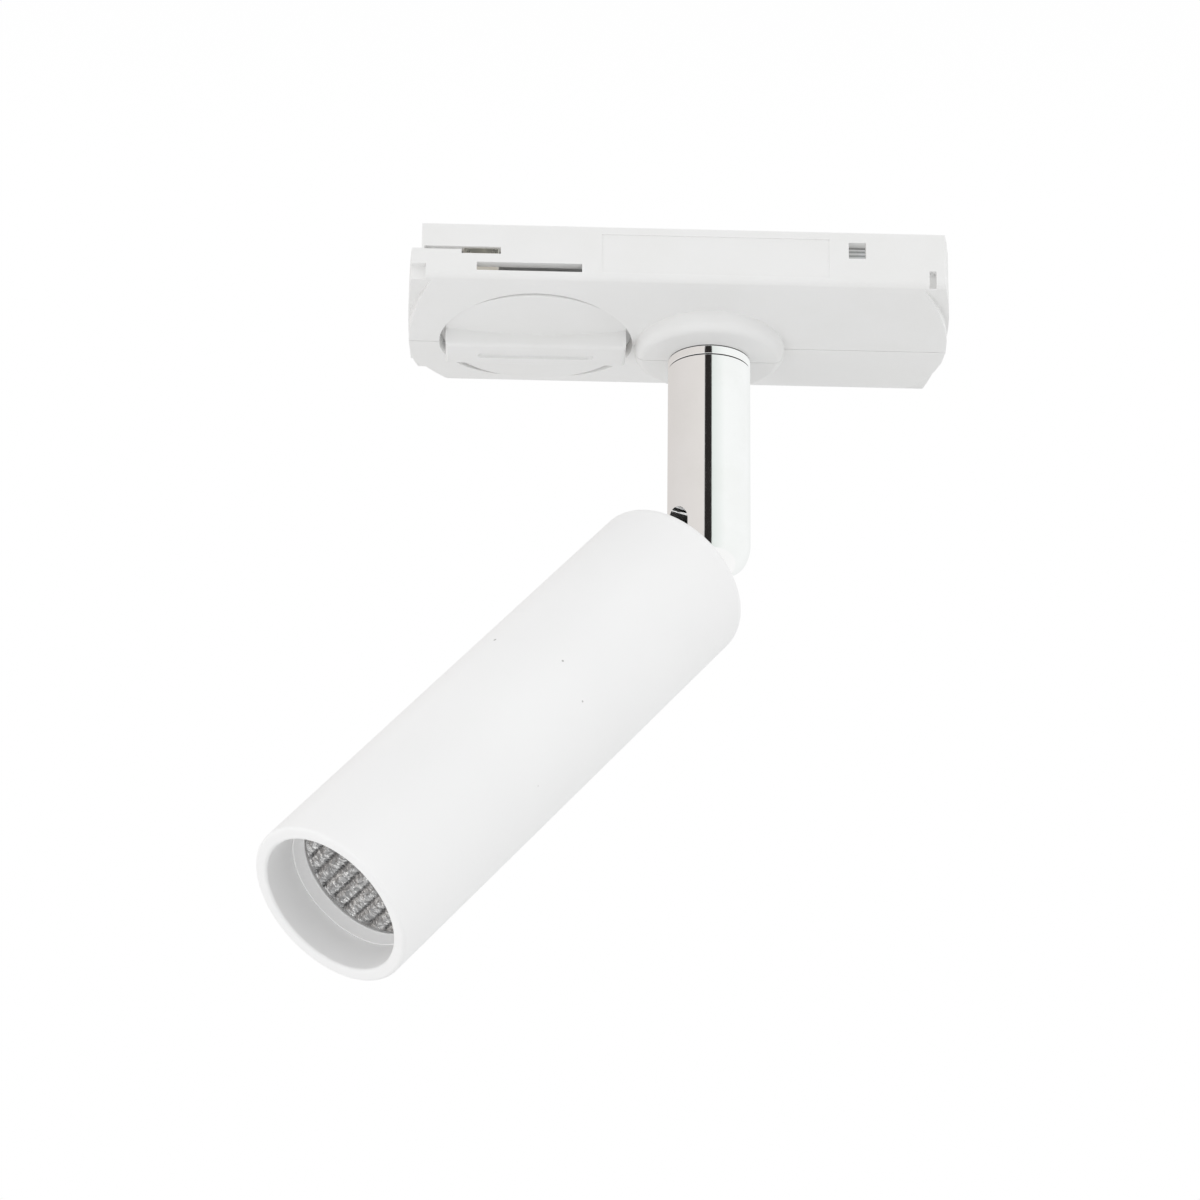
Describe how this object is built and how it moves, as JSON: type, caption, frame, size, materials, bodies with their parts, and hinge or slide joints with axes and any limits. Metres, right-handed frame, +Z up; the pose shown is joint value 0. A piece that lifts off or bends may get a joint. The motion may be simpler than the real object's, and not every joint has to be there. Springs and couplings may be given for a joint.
{
  "type": "track spotlight",
  "caption": "Small white cylindrical spotlight on a chrome stem, with a flat track adapter, a locking dial, a swivel below the adapter and a tilting fork joint.",
  "frame": {"origin": "on the swivel axis, in the flat top face of the adapter, which lies against the track", "axes": "+Z up into the track and along the stem's swivel axis, +X along the track towards the long plain end, -Y the side with the cam slot"},
  "size_m": [0.0952, 0.0628, 0.1153],
  "materials": {
    "white_plastic": "fine satin moulded white plastic",
    "dial_plastic": "satin moulded white plastic, slightly greyer",
    "inner_plastic": "plain grey-white insulating plastic",
    "black_plastic": "plain black plastic",
    "lead_white": "soft white lead insulation",
    "white_paint": "fine white powder coat",
    "chrome": "polished chrome plate",
    "steel": "zinc plated steel",
    "brass": "plain brass",
    "aluminium": "turned aluminium",
    "circuit_board": "green solder mask",
    "copper_winding": "enamelled copper winding",
    "emitter": "yellow phosphor",
    "lens_grey": "metallised, faceted optic"
  },
  "bodies": {
    "adapter": {"housing_front": "white_plastic", "housing_back": "white_plastic", "top_cover": "inner_plastic", "cover_screw_1": "steel", "cover_screw_2": "steel", "cover_screw_3": "steel", "cover_screw_4": "steel", "terminal_block": "inner_plastic", "terminal_screw_1": "brass", "terminal_screw_2": "brass", "terminal_screw_3": "brass", "earth_spring_front": "steel", "earth_spring_back": "steel", "swivel_bush": "inner_plastic", "supply_lead": "lead_white"},
    "dial": {"dial_knob": "dial_plastic", "lock_cam": "steel", "dial_shaft": "inner_plastic", "contact_drive_disc": "inner_plastic", "dial_clip": "steel"},
    "live_slide": {"live_contact": "brass"},
    "neutral_slide": {"neutral_contact": "brass"},
    "stem_assembly": {"swivel_washer": "steel", "nipple_nut": "steel", "hollow_nipple": "steel", "reveal_ring": "chrome", "stem": "chrome", "pivot_screw": "steel", "tilt_washer_1": "black_plastic", "tilt_washer_2": "black_plastic"},
    "head": {"head_tube": "white_paint", "tilt_bracket": "white_paint", "bracket_screw_1": "steel", "bracket_screw_2": "steel", "insulating_sleeve": "inner_plastic", "driver_board": "circuit_board", "driver_choke": "copper_winding", "driver_capacitor": "black_plastic", "heat_sink": "aluminium", "led_board": "aluminium", "led_emitter": "emitter", "lens_holder": "inner_plastic", "lens": "lens_grey", "retaining_ring": "inner_plastic", "led_lead": "black_plastic"}
  },
  "joints": [
    {"name": "dial_turn", "type": "hinge", "parent": "adapter", "child": "dial", "pos_m": [-0.0253, 0, 0], "axis": [0, 0, -1], "range_deg": [0, 90]},
    {"name": "live_travel", "type": "slide", "parent": "adapter", "child": "live_slide", "axis": [0, -1, 0], "range_m": [0, 0.0015]},
    {"name": "neutral_travel", "type": "slide", "parent": "adapter", "child": "neutral_slide", "axis": [0, 1, 0], "range_m": [0, 0.0015]},
    {"name": "stem_swivel", "type": "hinge", "parent": "adapter", "child": "stem_assembly", "pos_m": [0, 0, -0.0126], "axis": [0, 0, 1], "range_deg": [-175, 175]},
    {"name": "head_tilt", "type": "hinge", "parent": "stem_assembly", "child": "head", "pos_m": [0, 0, -0.0415], "axis": [0.5592, -0.829, 0], "range_deg": [-47, 43]}
  ],
  "couplings": [
    {"joint": "live_travel", "follows": "dial_turn", "m_per_rad": 0.000954},
    {"joint": "neutral_travel", "follows": "dial_turn", "m_per_rad": 0.000954}
  ]
}
